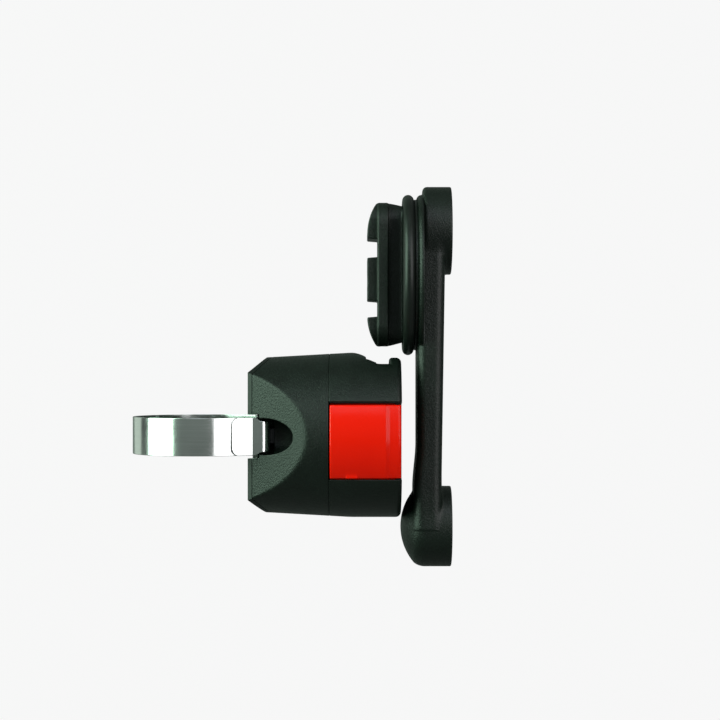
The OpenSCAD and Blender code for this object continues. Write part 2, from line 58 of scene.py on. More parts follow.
CAMERA_X = 0.0344
CAMERA_Z = 0.0162
PICTURE_WIDTH = 0.1562
SENSOR = 36.0
FLOOR_Z = -0.085
BACKDROP_Y = 0.34
BEND_RADIUS = 0.20
LAMP_AIM = Vector((0.022, 0.0, 0.010))
SEEN_WHITE = 0.92
GLOSS_WHITE = 0.04
AIR_WHITE = 0.94


def make_camera():
    data = bpy.data.cameras.new("studio_camera")
    data.sensor_width = SENSOR
    data.lens = SENSOR * CAMERA_AWAY / PICTURE_WIDTH
    data.clip_start, data.clip_end = 0.01, 20
    camera = bpy.data.objects.new("studio_camera", data)
    camera.location = (CAMERA_X, -CAMERA_AWAY, CAMERA_Z)
    camera.rotation_euler = (math.pi / 2, 0, 0)
    bpy.context.collection.objects.link(camera)
    bpy.context.scene.camera = camera


def make_softbox(name, azimuth, elevation, away, size, radiance, colour=(1, 1, 1)):
    """A softbox aimed at the object. Azimuth is 0 on the camera's side and grows towards +X."""
    azimuth, elevation = math.radians(azimuth), math.radians(elevation)
    level = math.cos(elevation)
    way = Vector((math.sin(azimuth) * level, -math.cos(azimuth) * level, math.sin(elevation)))
    data = bpy.data.lights.new(name, "AREA")
    data.shape = "RECTANGLE"
    data.size, data.size_y = size
    data.energy = radiance * math.pi * size[0] * size[1]
    data.color = colour
    lamp = bpy.data.objects.new(name, data)
    lamp.location = LAMP_AIM + way * away
    lamp.rotation_euler = (-way).to_track_quat("-Z", "Y").to_euler()
    bpy.context.collection.objects.link(lamp)


class Signal:
    """A shader socket on which Python's operators add Math nodes."""

    def __init__(self, tree, socket):
        self.tree, self.socket = tree, socket

    def _math(self, operation, *values):
        maths = self.tree.nodes.new("ShaderNodeMath")
        maths.operation = operation
        for place, value in zip(maths.inputs, values):
            if isinstance(value, Signal):
                self.tree.links.new(value.socket, place)
            else:
                place.default_value = value
        return Signal(self.tree, maths.outputs[0])

    def __add__(self, other):
        return self._math("ADD", self, other)

    def __sub__(self, other):
        return self._math("SUBTRACT", self, other)

    def __rsub__(self, other):
        return self._math("SUBTRACT", other, self)

    def __mul__(self, other):
        return self._math("MULTIPLY", self, other)

    __radd__ = __add__
    __rmul__ = __mul__


class Finish:
    """A new material or world, whose nodes are added one call at a time."""

    def __init__(self, name, sockets=(), store="materials", shader="Principled BSDF"):
        self.block = getattr(bpy.data, store).new(name)
        self.block.use_nodes = True
        self.tree = self.block.node_tree
        self.shader = self.tree.nodes[shader]
        self.fill(self.shader, sockets)

    def fill(self, node, sockets):
        """Links signals to a node's sockets, or sets plain values on them."""
        for place, value in dict(sockets).items():
            place = node.inputs[place]
            if isinstance(value, Signal):
                self.tree.links.new(value.socket, place)
            else:
                place.default_value = value

    def node(self, kind, sockets=(), output=0, **settings):
        """Adds a node with its settings and sockets, and gives one of its outputs."""
        node = self.tree.nodes.new("ShaderNode" + kind)
        for name, value in settings.items():
            if name == "stops":
                for stop, (position, colour) in zip(node.color_ramp.elements, value):
                    stop.position, stop.color = position, (*colour, 1)
            else:
                setattr(node, name, value)
        self.fill(node, sockets)
        return Signal(self.tree, node.outputs[output])

    def shade(self, **sockets):
        """Fills sockets of the shader itself."""
        self.fill(self.shader, {name.replace("_", " "): value for name, value in sockets.items()})


def paint(piece, finish):
    """Puts one finish on all of a piece."""
    if not piece.data.materials:
        piece.data.materials.append(finish.block)
    for place in piece.material_slots:
        place.material = finish.block


def make_backdrop():
    """One sheet that runs along the floor and curves up behind the object."""
    reach, wide, steps = 1.4, 1.8, 24
    line = [(-reach, FLOOR_Z), (BACKDROP_Y - BEND_RADIUS, FLOOR_Z)]
    for i in range(1, steps + 1):
        turn = math.pi / 2 * i / steps
        line.append((
            BACKDROP_Y - BEND_RADIUS * (1 - math.sin(turn)),
            FLOOR_Z + BEND_RADIUS * (1 - math.cos(turn)),
        ))
    line.append((BACKDROP_Y, FLOOR_Z + reach))
    points = [(side * wide, y, z) for y, z in line for side in (-1, 1)]
    faces = [(2 * i, 2 * i + 1, 2 * i + 3, 2 * i + 2) for i in range(len(line) - 1)]
    mesh = bpy.data.meshes.new("backdrop")
    mesh.from_pydata(points, [], faces)
    mesh.shade_smooth()
    sheet = bpy.data.objects.new("backdrop", mesh)
    bpy.context.collection.objects.link(sheet)

    paper = Finish("paper_white", {"Roughness": 0.9, "Base Color": (0.12, 0.12, 0.12, 1)})
    to_camera = paper.node("LightPath")
    to_gloss = paper.node("LightPath", output=3)
    through = paper.node("LightPath", output=6)
    glow = paper.node("Emission", {"Color": (1, 1, 1, 1), "Strength": 1.0})
    matte = Signal(paper.tree, paper.shader.outputs[0])
    share = (to_camera + through) * SEEN_WHITE + to_gloss * GLOSS_WHITE
    white = paper.node("MixShader", {0: share, 1: matte, 2: glow})
    paper.fill(paper.tree.nodes["Material Output"], {"Surface": white})
    paint(sheet, paper)


def light_studio():
    """A large softbox on each side, and small ones in front, above and behind on the left."""
    glow = {"Color": (0.84, 1.0, 0.91, 1), "Strength": 0.22}
    air = Finish("studio_air", glow, store="worlds", shader="Background")
    lit = Signal(air.tree, air.shader.outputs[0])
    white = air.node("Background", {"Color": (1, 1, 1, 1), "Strength": AIR_WHITE})
    mixed = air.node("MixShader", {0: air.node("LightPath"), 1: lit, 2: white})
    air.fill(air.tree.nodes["World Output"], {"Surface": mixed})
    bpy.context.scene.world = air.block
    make_softbox("left_softbox", -69, 17, 0.6, (0.55, 0.74), 5.8, (0.67, 1.0, 0.77))
    make_softbox("right_softbox", 43, 17, 0.6, (0.44, 0.74), 2.3)
    make_softbox("front_softbox", -4, 44, 0.6, (0.26, 0.26), 1.5, (0.78, 0.91, 1.0))
    make_softbox("rear_softbox", -128, 8, 0.36, (0.20, 0.30), 0.45, (0.86, 1.0, 0.86))
    make_softbox("top_softbox", 20, 84, 0.6, (0.40, 0.30), 0.15)


make_camera()
make_backdrop()
light_studio()
bpy.context.scene.view_settings.view_transform = "Standard"


# Rear base.
# The half of the bracket that sits on the tube, moulded in glass-filled nylon. It has a flat
# face on each side, with a pocket and a scoop for the end of the band.
MM = 0.001
COARSE = 1.0
TUBE_R = 14.3
LINER_T = 1.0
BODY_R = 17.8
BASE_R = 16.8
TAPER_END_X = 32.3
SEAM_X = 27.8
FRONT_X = 43.2
FACET_TURN = math.radians(31.5)
FACET_TIP = (23.1, 17.289)
SCOOP_R = 3.85
SCOOP_Y = 11.662
SCOOP_END_X = 21.0
BAND_H = 8.0
BAND_T = 0.5
BAND_LEAVE = math.radians(29)
PIN_X = 13.472
POCKET_HALF_H = 4.65
POCKET_END_X = 13.07
LOOP_POCKET_END_X = 16.17
POCKET_FLOOR = 12.1
YOKE_X = 21.5
YOKE_ARM_Y = 7.212
YOKE_ARM_ROOM = 2.3
YOKE_ARM_HALF_H = 1.8
YOKE_HALF_H = 4.3
TENSION_BORE_R = 2.8
JOINT_SCREW_Z = 12.3
JOINT_BORE_R = 1.55
JOINT_HEAD_R = 3.1
JOINT_HEAD_REACH = 6.8
BODY_REACH = BODY_R + 0.4


class Form:
    """A solid as signed distances in millimetres over the points of a grid: negative inside."""

    def __init__(self, distance):
        self.distance = distance

    def joined(self, other, fillet=0.0):
        """This form and the other, with a hollow fillet of that radius where they meet."""
        a, b = self.distance, other.distance
        if fillet == 0:
            return Form(np.minimum(a, b))
        corner = np.hypot(np.maximum(fillet - a, 0), np.maximum(fillet - b, 0))
        return Form(np.maximum(fillet, np.minimum(a, b)) - corner)

    def within(self, other, edge=0.0):
        """What is in both forms, with a round edge of that radius where they meet."""
        a, b = self.distance, other.distance
        if edge == 0:
            return Form(np.maximum(a, b))
        corner = np.hypot(np.maximum(edge + a, 0), np.maximum(edge + b, 0))
        return Form(np.minimum(-edge, np.maximum(a, b)) + corner)

    def without(self, other, edge=0.0):
        return self.within(Form(-other.distance), edge)


class Grid:
    """Points in millimetres on which forms are measured, and from which a mesh is made."""

    def __init__(self, low, high, step):
        self.low, self.step = np.array(low), step * COARSE
        counts = [int(math.ceil((h - l) / self.step)) + 1 for l, h in zip(low, high)]
        self.shape = tuple(counts)
        axes = np.ogrid[: counts[0], : counts[1], : counts[2]]
        self.x, self.y, self.z = [
            (l + self.step * axis).astype(np.float32) for l, axis in zip(low, axes)
        ]

    def below(self, along, height):
        return Form(along - height)

    def above(self, along, height):
        return Form(height - along)

    def slab(self, along, low, high):
        """All between two planes."""
        return Form(np.maximum(low - along, along - high))

    def box(self, x, y, z, edge=0.0):
        """A box between three pairs of planes, with round edges."""
        out = [
            np.abs(axis - (low + high) / 2) - ((high - low) / 2 - edge)
            for axis, (low, high) in zip((self.x, self.y, self.z), (x, y, z))
        ]
        beyond = np.sqrt(sum(np.maximum(o, 0) ** 2 for o in out))
        inside = np.minimum(np.maximum(np.maximum(out[0], out[1]), out[2]), 0)
        return Form(beyond + inside - edge)

    def pad(self, u, v, width, height, corner):
        """A rectangle with round corners, endless along the third way."""
        du = np.abs(u) - (width / 2 - corner)
        dv = np.abs(v) - (height / 2 - corner)
        beyond = np.hypot(np.maximum(du, 0), np.maximum(dv, 0))
        return Form(beyond + np.minimum(np.maximum(du, dv), 0) - corner)

    def bar_x(self, y, z, radius, low, high, edge=0.0):
        """A round bar along X."""
        return Form(np.hypot(self.y - y, self.z - z) - radius).within(
            self.slab(self.x, low, high), edge)

    def slopes(self, field, points):
        """The ways in which a field grows at points that are given in grid steps."""
        top = np.array(self.shape) - 1.001
        ways = np.zeros_like(points)
        for axis in range(3):
            for sign in (-1, 1):
                near = points.copy()
                near[:, axis] += 0.7 * sign
                near = np.clip(near, 0, top)
                cell = near.astype(int)
                part = near - cell
                for corner in np.ndindex(2, 2, 2):
                    weight = np.prod(np.where(corner, part, 1 - part), axis=1)
                    i, j, k = (cell + corner).T
                    ways[:, axis] += sign * weight * field[i, j, k]
        return ways / np.maximum(np.linalg.norm(ways, axis=1, keepdims=True), 1e-9)

    def mesh(self, name, form, adaptivity=0.003):
        """The form's surface as a mesh object in metres, shaded by the form's own slopes."""
        rim = 3 * self.step
        field = np.array(np.clip(np.broadcast_to(form.distance, self.shape), -rim, rim), np.float32)
        volume = openvdb.FloatGrid(rim)
        volume.copyFromArray(field)
        points, triangles, quads = volume.convertToPolygons(isovalue=0.0, adaptivity=adaptivity)
        normals = self.slopes(field, points.astype(float))
        faces = triangles.tolist() + quads.tolist()
        return make_piece(name, (self.low + points * self.step) * MM, faces, normals)


def make_piece(name, points, faces, normals=None):
    """A smooth mesh object from points in metres, with its own normals if they are given."""
    mesh = bpy.data.meshes.new(name)
    mesh.from_pydata(np.asarray(points).tolist(), [], faces)
    mesh.shade_smooth()
    if normals is not None:
        mesh.normals_split_custom_set_from_vertices(normals.tolist())
    piece = bpy.data.objects.new(name, mesh)
    bpy.context.collection.objects.link(piece)
    return piece


def dress(piece, finish, body, node):
    """Gives a piece its finish and its body, and hides the CAD node that it takes the place of."""
    paint(piece, finish)
    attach(piece, body)
    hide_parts(node)


def black_nylon(name, grain=1.0, shine=0.36):
    """Black glass-filled nylon, with the fine grain that a spark-eroded mould leaves."""
    finish = Finish(name, {"Specular IOR Level": 0.38})
    place = finish.node("TexCoord", output=3)
    sand = finish.node(
        "TexNoise", {"Vector": place, "Scale": 2700.0, "Detail": 4.0, "Roughness": 0.65}
    )
    cloud = finish.node("TexNoise", {"Vector": place, "Scale": 260.0, "Detail": 3.0})
    colour = finish.node(
        "ValToRGB", {"Fac": sand * 0.6 + cloud * 0.4},
        stops=[(0.34, (0.0020, 0.0044, 0.0028)), (0.66, (0.0052, 0.0102, 0.0072))],
    )
    bump = finish.node("Bump", {"Height": sand, "Strength": 0.9 * grain, "Distance": 0.00012})
    finish.shade(Base_Color=colour, Roughness=sand * 0.18 + cloud * 0.12 + (shine - 0.15), Normal=bump)
    return finish


def bracket_body(grid):
    """The round outline of the whole bracket, with its taper towards the tube."""
    slope = (BODY_R - BASE_R) / (TAPER_END_X - TUBE_R)
    radius = np.minimum(BODY_R, BODY_R + slope * (grid.x - TAPER_END_X))
    return Form(np.hypot(grid.y, grid.z) - radius)


def make_rear_base():
    grid = Grid((10.0, -BODY_REACH, -BODY_REACH), (SEAM_X + 0.4, BODY_REACH, BODY_REACH), 0.125)
    side = np.abs(grid.y)
    facet = Form(
        (side - FACET_TIP[1]) * math.cos(FACET_TURN) - (grid.x - FACET_TIP[0]) * math.sin(FACET_TURN)
    )
    form = bracket_body(grid).within(facet, 0.3)
    form = form.within(grid.below(grid.x, SEAM_X - 0.01), 0.05)
    form = form.without(Form(np.hypot(grid.x, grid.y) - (TUBE_R + LINER_T)), 0.2)

    across = grid.x * math.sin(BAND_LEAVE) + side * math.cos(BAND_LEAVE)
    beyond = grid.above(across, POCKET_FLOOR)
    pocket = beyond.within(grid.below(grid.x, POCKET_END_X)).within(
        grid.slab(grid.z, -POCKET_HALF_H, POCKET_HALF_H))
    loop_pocket = beyond.within(grid.below(grid.x, LOOP_POCKET_END_X)).within(
        grid.slab(grid.z, -SCOOP_R, SCOOP_R)).within(grid.below(side, SCOOP_Y))
    scoop = Form(np.hypot(side - SCOOP_Y, grid.z) - SCOOP_R).within(grid.below(grid.x, SCOOP_END_X))
    form = form.without(pocket, 0.12).without(loop_pocket).without(scoop, 0.15)

    arm_slot = grid.slab(grid.x, PIN_X, YOKE_X).within(
        grid.slab(side, YOKE_ARM_Y - YOKE_ARM_ROOM, YOKE_ARM_Y + 0.2)).within(
        grid.slab(grid.z, -YOKE_ARM_HALF_H, YOKE_ARM_HALF_H))
    yoke_room = grid.box(
        (YOKE_X - 1.6, FRONT_X), (-YOKE_ARM_Y - 0.3, YOKE_ARM_Y + 0.3), (-YOKE_HALF_H, YOKE_HALF_H))
    form = form.without(arm_slot).without(yoke_room)
    form = form.without(grid.bar_x(0, 0, TENSION_BORE_R, 0, FRONT_X))
    for z in (-JOINT_SCREW_Z, JOINT_SCREW_Z):
        form = form.without(grid.bar_x(0, z, JOINT_HEAD_R, 0, SEAM_X - JOINT_HEAD_REACH))
        form = form.without(grid.bar_x(0, z, JOINT_BORE_R, 0, FRONT_X))
    piece = grid.mesh("rear_base_moulding", form)
    dress(piece, black_nylon("base_nylon", 1.15), "bracket", "rear_base")


make_rear_base()


# Saddle liner.
# A thin black rubber sheet between the tube and the base. It keeps the bracket from slipping.
def black_rubber(name, shine=0.5):
    """Black rubber with a dusty bloom."""
    finish = Finish(name, {"Specular IOR Level": 0.35})
    place = finish.node("TexCoord", output=3)
    bloom = finish.node("TexNoise", {"Vector": place, "Scale": 2400.0, "Detail": 3.0})
    cloud = finish.node("TexNoise", {"Vector": place, "Scale": 150.0, "Detail": 3.0})
    tone = finish.node(
        "ValToRGB", {"Fac": bloom * 0.5 + cloud * 0.5},
        stops=[(0.34, (0.0040, 0.0058, 0.0046)), (0.66, (0.0090, 0.0120, 0.0102))],
    )
    bump = finish.node("Bump", {"Height": bloom, "Strength": 0.25, "Distance": 0.00004})
    finish.shade(Base_Color=tone, Roughness=bloom * 0.16 + cloud * 0.10 + (shine - 0.13), Normal=bump)
    return finish


paint(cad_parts["saddle_liner"], black_rubber("liner_rubber_black", 0.46))


# Front housing.
# The other half of the bracket, moulded in the same nylon. A T-slot that is open at the top
# takes the hook plate, a window on one side holds the button, and a ramp leads into the slot.
LIP_X = FRONT_X - 2.5
FLANGE_ROOM_X = 37.9
CAVITY_X = 35.7
SLOT_FLOOR = -15.75
RAMP_LEN = 3.8
RAMP_LOW_Z = 15.52
FRONT_ROUND = 1.1
BUTTON_LOW = -8.6
BUTTON_HIGH = 6.8
BUTTON_LIP = 1.3
POCKET_WALL_Y = -10.2
RELIEF_Y = -14.95
WINDOW_PLAY = 0.25
TEETH_ROOM_W = 12.5
NECK_ROOM_W = 11.9
NECK_ROOM_ROUND = 4.25
FLANGE_ROOM_W = 16.5
FLANGE_ROOM_ROUND = 5.25
WASHER_X = SEAM_X + 2.1
WASHER_ROOM_R = 4.7
LEAF_Z = -7.45
LEAF_X = CAVITY_X - 1.5
LEAF_ROOM_HALF_H = 1.65
NOSE_ROOM_HALF_W = 1.9
LATCH_SCREW_Y = 10.5
LATCH_HEAD_R = 2.5
LATCH_BORE_R = 1.15
SPRING_X = 34.6
SPRING_Z = (BUTTON_LOW + BUTTON_HIGH) / 2
SPRING_WELL_R = 2.4
COIL_SEAT_Y = -9.2


def slot_room(grid, width, low, high, corner):
    """A room that is open at the top and round in its lower corners."""
    tall = 60.0
    outline = grid.pad(grid.y, grid.z - SLOT_FLOOR - tall / 2, width, tall, corner)
    return outline.within(grid.slab(grid.x, low, high))


def entry_ramp(grid):
    """The wedge above the slot that guides the hook plate in."""
    turn = math.atan2(BODY_R - RAMP_LOW_Z, RAMP_LEN)
    start = FLANGE_ROOM_X - RAMP_LEN
    slope = (BODY_R - grid.z) * math.cos(turn) - (grid.x - start) * math.sin(turn)
    wedge = Form(slope).within(grid.above(grid.z, RAMP_LOW_Z), 0.5)
    return wedge.within(grid.below(grid.x, LIP_X))


def make_front_housing():
    grid = Grid((SEAM_X - 0.4, -BODY_REACH, -BODY_REACH), (FRONT_X + 0.4, BODY_REACH, BODY_REACH), 0.125)
    form = bracket_body(grid).within(grid.below(grid.x, FRONT_X), FRONT_ROUND)
    form = form.within(grid.above(grid.x, SEAM_X + 0.01), 0.05)

    room = slot_room(grid, NECK_ROOM_W, CAVITY_X, FRONT_X + 2, NECK_ROOM_ROUND)
    room = room.joined(slot_room(grid, TEETH_ROOM_W, CAVITY_X, LIP_X, NECK_ROOM_ROUND))
    room = room.joined(slot_room(grid, FLANGE_ROOM_W, FLANGE_ROOM_X, LIP_X, FLANGE_ROOM_ROUND))
    form = form.without(entry_ramp(grid), 0.8).without(room, 0.12)

    window = grid.slab(grid.z, BUTTON_LOW - WINDOW_PLAY, BUTTON_HIGH + WINDOW_PLAY).within(
        grid.below(grid.y, POCKET_WALL_Y))
    relief = grid.slab(grid.z, BUTTON_HIGH - 0.5, BUTTON_HIGH + 0.7).within(
        grid.below(grid.y, RELIEF_Y))
    lip_room = grid.box(
        (0, FRONT_X - 1.15), (-13.85, POCKET_WALL_Y),
        (BUTTON_LOW - BUTTON_LIP - WINDOW_PLAY, BUTTON_HIGH + BUTTON_LIP + WINDOW_PLAY),
    )
    form = form.without(window, 0.1).without(relief, 0.12).without(lip_room)

    form = form.without(grid.bar_x(0, 0, WASHER_ROOM_R, WASHER_X, FRONT_X), 0.2)
    form = form.without(grid.bar_x(0, 0, TENSION_BORE_R, 0, FRONT_X))
    leaf_height = (LEAF_Z - LEAF_ROOM_HALF_H, LEAF_Z + LEAF_ROOM_HALF_H)
    leaf_room = grid.box((0, LEAF_X + 0.05), (-10.7, 13.2), leaf_height)
    nose_room = grid.box((0, CAVITY_X + 1), (-NOSE_ROOM_HALF_W, NOSE_ROOM_HALF_W), leaf_height)
    form = form.without(leaf_room).without(nose_room)
    form = form.without(grid.bar_x(LATCH_SCREW_Y, LEAF_Z, LATCH_HEAD_R, 0, LEAF_X + 0.05))
    form = form.without(grid.bar_x(LATCH_SCREW_Y, LEAF_Z, LATCH_BORE_R, 0, LEAF_X + 5.5))
    for z in (-JOINT_SCREW_Z, JOINT_SCREW_Z):
        form = form.without(grid.bar_x(0, z, JOINT_BORE_R, 0, SEAM_X + 6.2))
    well = Form(np.hypot(grid.x - SPRING_X, grid.z - SPRING_Z) - SPRING_WELL_R)
    form = form.without(well.within(grid.below(grid.y, COIL_SEAT_Y)))
    piece = grid.mesh("front_housing_moulding", form)
    dress(piece, black_nylon("housing_nylon"), "bracket", "front_housing")


make_front_housing()


# Yoke, pins and screws inside the bracket.
# The M5 tension screw in the slot's floor pulls a steel yoke, which hooks the two pins in the
# band's ends. Two screws under the liner join the base and the housing.
def plated_steel(name, colour, shine):
    """Machined steel with a thin plated or blackened skin, a little cloudy."""
    finish = Finish(name, {"Metallic": 1.0})
    place = finish.node("TexCoord", output=3)
    turned = finish.node("TexNoise", {"Vector": place, "Scale": 2600.0, "Detail": 3.0})
    cloud = finish.node("TexNoise", {"Vector": place, "Scale": 500.0, "Detail": 2.0})
    dull = tuple(0.72 * c for c in colour)
    tone = finish.node(
        "ValToRGB", {"Fac": turned * 0.4 + cloud * 0.6}, stops=[(0.3, dull), (0.7, colour)]
    )
    bump = finish.node("Bump", {"Height": turned, "Strength": 0.2, "Distance": 0.00002})
    finish.shade(Base_Color=tone, Roughness=turned * 0.12 + cloud * 0.12 + (shine - 0.12), Normal=bump)
    return finish


screw_zinc = plated_steel("zinc_plate", (0.62, 0.63, 0.66), 0.30)
black_oxide = plated_steel("black_oxide", (0.055, 0.055, 0.06), 0.38)
for node in ("tension_screw", "tension_washer", "housing_screw_upper", "housing_screw_lower"):
    paint(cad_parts[node], screw_zinc)
for node in ("tension_yoke", "band_pin_near", "band_pin_far"):
    paint(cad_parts[node], black_oxide)


# Steel band.
# One strip of bright stainless steel. It runs round the back of the tube; each end leaves the
# tube, folds round a pin, and lies back on itself, where it is spot-welded.
BAND_REACH = 7.2
TAIL_START = 0.2
TAIL_END = 6.5
TAIL_ROUND = 1.5
LOOP_R = 1.55
LOOP_HALF_H = 3.5
LOOP_TAPER = 0.45
FLARE_X = 5.0
EDGE_R = 0.13


def bright_stainless():
    """Bright rolled stainless strip, with faint lines along the way it was rolled."""
    finish = Finish("bright_stainless", {"Metallic": 1.0})
    place = finish.node("TexCoord", output=3)
    stretched = finish.node("Mapping", {"Vector": place, "Scale": (90.0, 90.0, 7000.0)})
    roll = finish.node("TexNoise", {"Vector": stretched, "Scale": 1.0, "Detail": 4.0})
    smear = finish.node("TexNoise", {"Vector": place, "Scale": 220.0, "Detail": 2.0})
    tone = finish.node(
        "ValToRGB", {"Fac": roll * 0.7 + smear * 0.3},
        stops=[(0.3, (0.66, 0.67, 0.67)), (0.7, (0.78, 0.79, 0.79))],
    )
    bump = finish.node("Bump", {"Height": roll, "Strength": 0.10, "Distance": 0.00001})
    finish.shade(Base_Color=tone, Roughness=roll * 0.08 + smear * 0.10 + 0.07, Normal=bump)
    return finish


def band_end_path():
    """Middle line of a band end, from its tail round the loop to the tube: along, across."""
    outer, inner = TUBE_R + 1.5 * BAND_T, TUBE_R + 0.5 * BAND_T
    centre = TUBE_R + BAND_T
    path = [(x, outer) for x in np.linspace(TAIL_START, FLARE_X, 30)]
    lean = math.asin((LOOP_R - (outer - centre)) / (BAND_REACH - FLARE_X)) * 1.04
    turns = np.linspace(math.pi / 2 + lean, -math.pi / 2 - lean, 41)
    path += [(BAND_REACH + LOOP_R * math.cos(t), centre + LOOP_R * math.sin(t)) for t in turns]
    path += [(x, inner) for x in np.linspace(FLARE_X, 0.0, 10)]
    return path


def evenly(path, step):
    """Points along a path at nearly even steps, with the path's corners taken off."""
    path = np.array(path)
    length = np.concatenate([[0], np.cumsum(np.linalg.norm(np.diff(path, axis=0), axis=1))])
    marks = np.linspace(0, length[-1], int(length[-1] / step) + 2)
    path = np.stack([np.interp(marks, length, path[:, i]) for i in range(2)], axis=1)
    for _ in range(6):
        path[1:-1] = (path[:-2] + 2 * path[1:-1] + path[2:]) / 4
    return path


def band_half_height(along, on_tail, tip):
    """Half the strip's height: full on the tail, narrower round the pin, round at the tip."""
    height = BAND_H / 2
    shoulder = TAIL_END - TAIL_ROUND
    if along > shoulder:
        drop = TAIL_ROUND - math.sqrt(max(TAIL_ROUND**2 - (along - shoulder) ** 2, 0))
        reach = (along - shoulder) / (BAND_REACH + LOOP_R + BAND_T / 2 - shoulder)
        height = max(height - drop, LOOP_HALF_H - LOOP_TAPER * reach)
    if on_tail and tip < TAIL_ROUND:
        height = min(height, BAND_H / 2 - TAIL_ROUND + math.sqrt(tip * (2 * TAIL_ROUND - tip)))
    return height


def make_band():
    end = evenly(band_end_path(), 0.12)
    turned = np.empty_like(end)
    turned[:, 0] = end[:, 0] * math.cos(BAND_LEAVE) + end[:, 1] * math.sin(BAND_LEAVE)
    turned[:, 1] = end[:, 0] * math.sin(BAND_LEAVE) - end[:, 1] * math.cos(BAND_LEAVE)
    loop_at = int(np.argmax(end[:, 0]))
    tips = np.concatenate([[0], np.cumsum(np.linalg.norm(np.diff(end, axis=0), axis=1))])
    heights = [
        band_half_height(end[i, 0], i < loop_at, max(tips[i], 0.02)) for i in range(len(end))
    ]
    first = math.atan2(turned[-1, 1], turned[-1, 0])
    wrap = np.linspace(first, -2 * math.pi - first, 260)[1:-1]
    ring = np.stack([np.cos(wrap), np.sin(wrap)], axis=1) * (TUBE_R + BAND_T / 2)
    line = np.concatenate([turned, ring, (turned * (1, -1))[::-1]])
    tall = np.concatenate([heights, np.full(len(ring), BAND_H / 2), heights[::-1]])

    ahead = np.gradient(line, axis=0)
    ahead /= np.linalg.norm(ahead, axis=1, keepdims=True)
    out = np.stack([ahead[:, 1], -ahead[:, 0]], axis=1)
    section = []
    for corner, (su, sv) in enumerate(((1, 1), (-1, 1), (-1, -1), (1, -1))):
        for k in range(4):
            turn = math.pi / 2 * (corner + k / 3)
            section.append((su, sv, math.cos(turn), math.sin(turn)))
    points, normals = [], []
    for spot, away, half in zip(line, out, tall):
        for su, sv, du, dv in section:
            u = su * (BAND_T / 2 - EDGE_R) + EDGE_R * du
            points.append((*(spot + away * u), sv * (half - EDGE_R) + EDGE_R * dv))
            normals.append((*(away * du), dv))
    n, rows = len(section), len(line)
    faces = [
        (i * n + k, (i + 1) * n + k, (i + 1) * n + (k + 1) % n, i * n + (k + 1) % n)
        for i in range(rows - 1) for k in range(n)
    ]
    faces += [list(range(n)), list(range((rows - 1) * n, rows * n))[::-1]]
    piece = make_piece("band_strip", np.array(points) * MM, faces, np.array(normals))
    dress(piece, bright_stainless(), "bracket", "steel_band")


make_band()


# Release button.
# A red gloss cap that fills the window and follows the housing's curve. It slides inwards on
# its coil spring, and a tongue at its back presses on the latch leaf.
BUTTON_X = SEAM_X + 0.25
BUTTON_FRONT_X = FRONT_X - 0.15
BUTTON_R = BODY_R - 0.05
BUTTON_SLOPE_X = FRONT_X - 3.4
BUTTON_BEVEL = 0.8
BUTTON_STEP = 0.3
BUTTON_SLANT = 0.1
BUTTON_BACK_Y = -12.8
BUTTON_SKIN_Y = -15.45
BUTTON_WALL = 1.3
SPRING_POST_R = 1.3


def red_gloss():
    """Glossy red plastic, a little uneven where it shrank in the mould."""
    finish = Finish("button_red", {"Specular IOR Level": 0.22})
    place = finish.node("TexCoord", output=3)
    ripple = finish.node("TexNoise", {"Vector": place, "Scale": 90.0, "Detail": 1.0})
    speck = finish.node("TexNoise", {"Vector": place, "Scale": 3000.0, "Detail": 2.0})
    colour = finish.node(
        "ValToRGB", {"Fac": ripple * 0.7 + speck * 0.3},
        stops=[(0.3, (0.88, 0.0075, 0.0003)), (0.7, (0.95, 0.0100, 0.0006))],
    )
    bump = finish.node(
        "Bump", {"Height": ripple * 0.8 + speck * 0.2, "Strength": 0.12, "Distance": 0.00005}
    )
    finish.shade(Base_Color=colour, Roughness=speck * 0.08 + 0.17, Normal=bump)
    return finish


def make_button():
    grid = Grid((SEAM_X - 0.2, -18.2, -10.4), (FRONT_X + 0.3, -10.2, 8.8), 0.085)
    wall = np.hypot(grid.y, grid.z)
    bevel = np.clip((grid.x - BUTTON_SLOPE_X) / BUTTON_BEVEL, 0, 1)
    rest = np.clip(grid.x - BUTTON_SLOPE_X - BUTTON_BEVEL, 0, None) * BUTTON_SLANT
    cap = Form(wall - BUTTON_R + BUTTON_STEP * bevel + rest)
    cap = cap.within(grid.below(grid.x, BUTTON_FRONT_X), 0.6)
    cap = cap.within(grid.above(grid.x, BUTTON_X), 0.4)
    cap = cap.within(grid.slab(grid.z, BUTTON_LOW, BUTTON_HIGH), 0.2)
    cap = cap.within(grid.below(grid.y, BUTTON_BACK_Y), 0.1)
    cap = cap.without(grid.box(
        (BUTTON_X + BUTTON_WALL, BUTTON_FRONT_X - BUTTON_WALL), (BUTTON_SKIN_Y, 0),
        (BUTTON_LOW + BUTTON_WALL, BUTTON_HIGH - BUTTON_WALL), 0.3,
    ))
    lips = grid.box(
        (BUTTON_X, FRONT_X - 1.4), (BUTTON_BACK_Y - 1, BUTTON_BACK_Y),
        (BUTTON_LOW - BUTTON_LIP, BUTTON_HIGH + BUTTON_LIP), 0.1,
    ).without(grid.slab(grid.z, BUTTON_LOW + 1, BUTTON_HIGH - 1))
    post = Form(np.hypot(grid.x - SPRING_X, grid.z - SPRING_Z) - SPRING_POST_R).within(
        grid.slab(grid.y, BUTTON_SKIN_Y - 0.1, BUTTON_SKIN_Y + 2), 0.2)
    tongue = grid.box(
        (LEAF_X - 2.7, LEAF_X - 0.3), (BUTTON_SKIN_Y - 0.5, -10.6), (BUTTON_LOW, LEAF_Z + 1.25), 0.2
    )
    form = cap.joined(lips).joined(post, 0.2).joined(tongue, 0.2)
    piece = grid.mesh("button_cap", form, 0.002)
    dress(piece, red_gloss(), "button", "release_button")


make_button()


